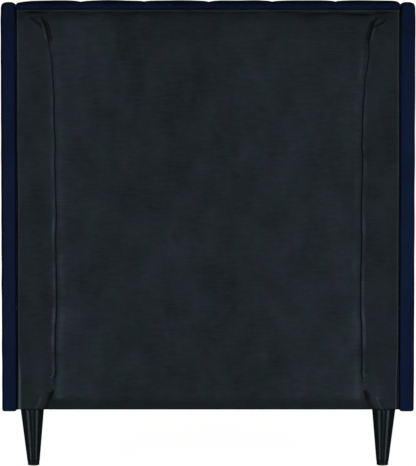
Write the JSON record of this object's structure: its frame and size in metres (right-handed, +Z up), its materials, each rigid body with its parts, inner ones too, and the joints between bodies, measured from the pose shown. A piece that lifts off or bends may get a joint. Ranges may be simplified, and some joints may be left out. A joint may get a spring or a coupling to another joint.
{
  "type": "upholstered bed",
  "caption": "Single bed with a tall winged, vertically channelled navy velvet headboard, a dark dust cover on its back, padded rails, a slatted deck and tapered gloss-black legs.",
  "frame": {"origin": "on the floor, under the middle of the bed's overall length and width", "axes": "+Z up; +Y from the foot panel towards the headboard, whose back face looks along +Y; +X to the right seen from the foot end"},
  "size_m": [1.168, 2.064, 1.319],
  "materials": {
    "navy_velvet": "matte",
    "back_cloth": "matte",
    "pine": "satin",
    "plywood": "matte",
    "fibreboard": "matte",
    "gloss_black_lacquer": "gloss",
    "glide_nylon": "matte",
    "zinc_steel": "satin",
    "black_steel": "satin",
    "webbing": "matte"
  },
  "bodies": {
    "root": {"channel_pad_1": "navy_velvet", "channel_pad_2": "navy_velvet", "channel_pad_3": "navy_velvet", "channel_pad_4": "navy_velvet", "channel_pad_5": "navy_velvet", "channel_pad_6": "navy_velvet", "headboard_lower_pad": "navy_velvet", "wing_cover_left": "navy_velvet", "wing_cover_right": "navy_velvet", "side_rail_cover_left": "navy_velvet", "side_rail_cover_right": "navy_velvet", "foot_panel_cover": "navy_velvet", "back_dust_cover": "back_cloth", "headboard_post_left": "pine", "headboard_post_right": "pine", "headboard_bottom_rail": "pine", "headboard_middle_rail": "pine", "headboard_top_rail": "pine", "side_rail_board_left": "pine", "side_rail_board_right": "pine", "slat_ledge_left": "pine", "slat_ledge_right": "pine", "foot_panel_board": "pine", "slat_01": "pine", "slat_02": "pine", "slat_03": "pine", "slat_04": "pine", "slat_05": "pine", "slat_06": "pine", "slat_07": "pine", "slat_08": "pine", "slat_09": "pine", "slat_10": "pine", "slat_11": "pine", "slat_12": "pine", "headboard_front_board": "plywood", "wing_board_left": "fibreboard", "wing_board_right": "fibreboard", "leg_rear_left": "gloss_black_lacquer", "leg_rear_right": "gloss_black_lacquer", "leg_front_left": "gloss_black_lacquer", "leg_front_right": "gloss_black_lacquer", "leg_glide_rear_left": "glide_nylon", "leg_glide_rear_right": "glide_nylon", "leg_glide_front_left": "glide_nylon", "leg_glide_front_right": "glide_nylon", "leg_stud_rear_left": "zinc_steel", "leg_stud_rear_right": "zinc_steel", "leg_stud_front_left": "zinc_steel", "leg_stud_front_right": "zinc_steel", "wing_bolt_left_1": "zinc_steel", "wing_bolt_left_2": "zinc_steel", "wing_bolt_right_1": "zinc_steel", "wing_bolt_right_2": "zinc_steel", "corner_bracket_rear_left": "black_steel", "corner_bracket_rear_right": "black_steel", "corner_bracket_front_left": "black_steel", "corner_bracket_front_right": "black_steel", "slat_strap_left": "webbing", "slat_strap_right": "webbing"}
  },
  "joints": []
}
